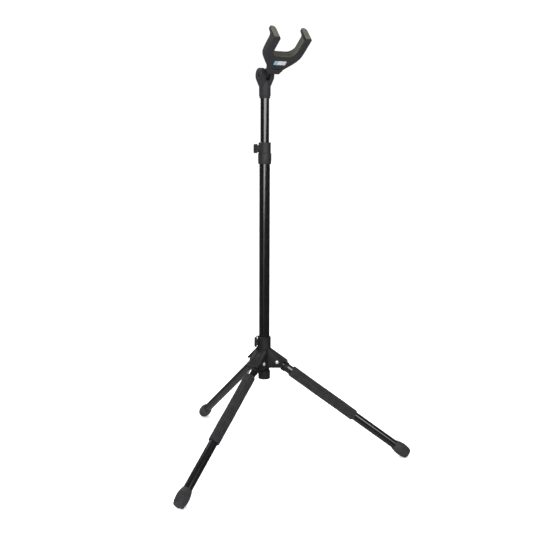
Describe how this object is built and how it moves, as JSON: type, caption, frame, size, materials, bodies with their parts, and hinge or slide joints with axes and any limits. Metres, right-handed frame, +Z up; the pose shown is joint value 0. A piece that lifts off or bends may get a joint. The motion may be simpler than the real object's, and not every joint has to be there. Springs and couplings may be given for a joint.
{
  "type": "saxophone stand",
  "caption": "Folding tripod stand with a telescopic column, thumb-knob clamps and a tilting forked yoke with rubber lining that holds a saxophone.",
  "frame": {"origin": "middle of the bounding box on the floor; the column axis stands at x = 0, y = -0.0848 m", "axes": "+Z up, -Y to the front, between the two padded legs, where the yoke's arms point"},
  "size_m": [0.616, 0.5368, 0.9954],
  "materials": {
    "black_enamel": "gloss",
    "black_plastic": "matte",
    "grey_plastic": "matte",
    "foam": "matte",
    "rubber": "matte",
    "olive_rubber": "matte",
    "zinc": "polished",
    "nylon": "matte",
    "brass": "satin",
    "label": "satin"
  },
  "bodies": {
    "hub": {"hub_casting": "black_plastic", "pivot_bolt_right": "zinc", "pivot_nut_right": "zinc", "pivot_bolt_left": "zinc", "pivot_nut_left": "zinc", "pivot_bolt_rear": "zinc", "pivot_nut_rear": "zinc"},
    "leg_right": {"leg_tube_right": "black_enamel", "leg_bush_right": "nylon", "leg_collar_right": "black_plastic", "foam_grip_right": "foam", "foot_right": "rubber"},
    "leg_left": {"leg_tube_left": "black_enamel", "leg_bush_left": "nylon", "leg_collar_left": "black_plastic", "foam_grip_left": "foam", "foot_left": "rubber"},
    "leg_rear": {"leg_tube_rear": "black_enamel", "leg_bush_rear": "nylon", "leg_collar_rear": "black_plastic", "foot_rear": "rubber"},
    "lower_column": {"lower_tube": "black_enamel", "end_cap": "black_plastic", "clutch_body": "black_plastic"},
    "hub_clamp_shoe": {"hub_shoe": "brass"},
    "hub_clamp_knob": {"hub_knob": "black_plastic"},
    "clutch_clamp_shoe": {"clutch_shoe": "brass"},
    "clutch_clamp_knob": {"clutch_knob": "black_plastic"},
    "guide": {"guide_plug": "nylon"},
    "upper_column": {"upper_tube": "black_enamel", "head_fork": "grey_plastic", "head_screw": "zinc", "tilt_bolt": "black_enamel", "tilt_nut": "black_enamel"},
    "yoke": {"yoke_frame": "grey_plastic", "notch_lining": "olive_rubber", "tip_pad_right": "olive_rubber", "tip_pad_left": "olive_rubber", "label_plate": "label"}
  },
  "joints": [
    {"name": "leg_fold_right", "type": "hinge", "parent": "hub", "child": "leg_right", "pos_m": [0.02598, -0.0998, 0.238], "axis": [0.5, 0.866, 0], "range_deg": [0, 54]},
    {"name": "leg_fold_left", "type": "hinge", "parent": "hub", "child": "leg_left", "pos_m": [-0.02598, -0.0998, 0.238], "axis": [0.5, -0.866, 0], "range_deg": [0, 54]},
    {"name": "leg_fold_rear", "type": "hinge", "parent": "hub", "child": "leg_rear", "pos_m": [0, -0.0548, 0.238], "axis": [-1, 0, 0], "range_deg": [0, 54]},
    {"name": "column_slide", "type": "slide", "parent": "hub", "child": "lower_column", "axis": [0, 0, 1], "range_m": [-0.17, 0.008]},
    {"name": "hub_knob_turn", "type": "hinge", "parent": "hub_clamp_shoe", "child": "hub_clamp_knob", "pos_m": [0, -0.0848, 0.2825], "axis": [-0.866, 0.5, 0], "range_deg": [0, 720]},
    {"name": "hub_shoe_slide", "type": "slide", "parent": "hub", "child": "hub_clamp_shoe", "axis": [-0.866, 0.5, 0], "range_m": [0, 0.002]},
    {"name": "tube_slide", "type": "slide", "parent": "lower_column", "child": "guide", "axis": [0, 0, 1], "range_m": [-0.095, 0.28]},
    {"name": "tube_swivel", "type": "hinge", "parent": "guide", "child": "upper_column", "pos_m": [0, -0.0848, 0.36], "axis": [0, 0, 1], "continuous": true},
    {"name": "clutch_knob_turn", "type": "hinge", "parent": "clutch_clamp_shoe", "child": "clutch_clamp_knob", "pos_m": [0, -0.0848, 0.7365], "axis": [-0.866, 0.5, 0], "range_deg": [0, 720]},
    {"name": "clutch_shoe_slide", "type": "slide", "parent": "lower_column", "child": "clutch_clamp_shoe", "axis": [-0.866, 0.5, 0], "range_m": [0, 0.002]},
    {"name": "yoke_tilt", "type": "hinge", "parent": "upper_column", "child": "yoke", "pos_m": [0, -0.0848, 0.9005], "axis": [-1, 0, 0], "range_deg": [-38.5, 51.5]}
  ],
  "couplings": [
    {"joint": "hub_knob_turn", "follows": "hub_shoe_slide", "rad_per_m": 6283.2},
    {"joint": "clutch_knob_turn", "follows": "clutch_shoe_slide", "rad_per_m": 6283.2}
  ]
}
